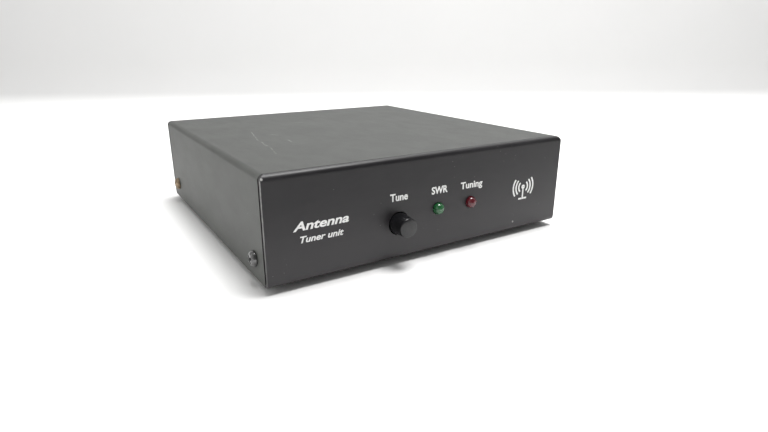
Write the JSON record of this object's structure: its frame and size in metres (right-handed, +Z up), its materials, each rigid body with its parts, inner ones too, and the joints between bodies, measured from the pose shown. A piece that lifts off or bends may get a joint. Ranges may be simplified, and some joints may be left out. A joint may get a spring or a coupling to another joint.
{
  "type": "antenna tuner",
  "caption": "Automatic antenna tuner in a low sheet metal case with a tune button, two lamps, coax sockets, jacks and a ground stud.",
  "frame": {"origin": "middle of the footprint at the underside of the feet, midway between the end of the tune button and the ends of the coax sockets", "axes": "+X to the right seen from the front, +Y from the front panel to the rear panel, +Z up"},
  "size_m": [0.1308, 0.153, 0.0382],
  "materials": {
    "panel_paint": "satin black paint",
    "cover_paint": "fine textured grey paint, satin",
    "black_screw": "glossy black oxide",
    "worn_screw": "worn and stained",
    "zinc_steel": "zinc plated",
    "nickel_plate": "nickel plated",
    "contact_metal": "bright plated",
    "foot_rubber": "matt",
    "button_plastic": "smooth black",
    "switch_plastic": "moulded",
    "jack_plastic": "moulded",
    "green_lens": "clear tinted",
    "red_lens": "clear tinted",
    "tinned_wire": "tinned",
    "solder_mask": "green solder mask",
    "red_core": "painted iron powder",
    "dark_core": "ferrite",
    "enamelled_copper": "enamelled copper wire",
    "bare_copper": "bare copper wire",
    "relay_plastic": "moulded",
    "capacitor_coat": "dipped coating",
    "chip_plastic": "moulded",
    "can_sleeve": "shrunk sleeve",
    "resistor_coat": "lacquered",
    "diode_glass": "glass body",
    "trimmer_plastic": "moulded",
    "rotor_plastic": "moulded",
    "insulator_plastic": "waxy white",
    "red_insulation": "wire insulation"
  },
  "bodies": {
    "case": {"chassis": "panel_paint", "cover": "cover_paint", "clinch_nuts": "zinc_steel", "cover_screws": "black_screw", "worn_cover_screw": "worn_screw", "feet": "foot_rubber", "switch_housing": "switch_plastic", "switch_spring": "zinc_steel", "switch_terminals": "tinned_wire", "green_lamp": "green_lens", "red_lamp": "red_lens", "lamp_leads": "tinned_wire", "circuit_board": "solder_mask", "board_standoffs": "nickel_plate", "board_screws": "zinc_steel", "large_cores": "red_core", "large_windings": "enamelled_copper", "small_cores": "red_core", "small_windings": "enamelled_copper", "air_coils": "bare_copper", "bridge_core": "dark_core", "bridge_winding": "enamelled_copper", "bridge_primary": "bare_copper", "relays": "relay_plastic", "relay_pins": "tinned_wire", "disc_capacitors": "capacitor_coat", "capacitor_leads": "tinned_wire", "microcontroller": "chip_plastic", "chip_socket": "switch_plastic", "driver_chips": "chip_plastic", "chip_pins": "tinned_wire", "crystal": "nickel_plate", "voltage_regulator": "chip_plastic", "regulator_tab": "tinned_wire", "electrolytic_capacitors": "can_sleeve", "resistors": "resistor_coat", "diodes": "diode_glass", "axial_leads": "tinned_wire", "trimmer_body": "trimmer_plastic", "coax_shells": "nickel_plate", "coax_insulators": "insulator_plastic", "coax_contacts": "contact_metal", "flange_screws": "zinc_steel", "flange_nuts": "zinc_steel", "coax_leads": "red_insulation", "ground_stud": "nickel_plate", "ground_lug": "tinned_wire", "lock_washer": "zinc_steel", "stud_nut": "zinc_steel", "power_jack": "jack_plastic", "power_pin": "nickel_plate", "radio_jack": "jack_plastic", "radio_jack_nut": "nickel_plate", "jack_terminals": "tinned_wire"},
    "tune_button": {"tune_button": "button_plastic", "switch_plunger": "zinc_steel"},
    "flat_washer": {"flat_washer": "zinc_steel"},
    "wing_nut": {"wing_nut": "nickel_plate"},
    "trimmer_rotor": {"trimmer_rotor": "rotor_plastic"}
  },
  "joints": [
    {"name": "tune_press", "type": "slide", "parent": "case", "child": "tune_button", "axis": [0, 1, 0], "range_m": [0, 0.002], "stiffness_N_per_m": 400, "springref_m": -0.002, "deforming": ["switch_spring"]},
    {"name": "wing_nut_travel", "type": "slide", "parent": "case", "child": "flat_washer", "axis": [0, 1, 0], "range_m": [0, 0.0021]},
    {"name": "wing_nut_turn", "type": "hinge", "parent": "flat_washer", "child": "wing_nut", "pos_m": [0.0525, 0.06895, 0.0202], "axis": [0, 1, 0], "range_deg": [0, 1080]},
    {"name": "trimmer_turn", "type": "hinge", "parent": "case", "child": "trimmer_rotor", "pos_m": [0.048, -0.04605, 0.0138], "axis": [0, 0, 1], "range_deg": [-135, 135]}
  ],
  "couplings": [
    {"joint": "wing_nut_travel", "follows": "wing_nut_turn", "m_per_rad": 0.00011141}
  ]
}
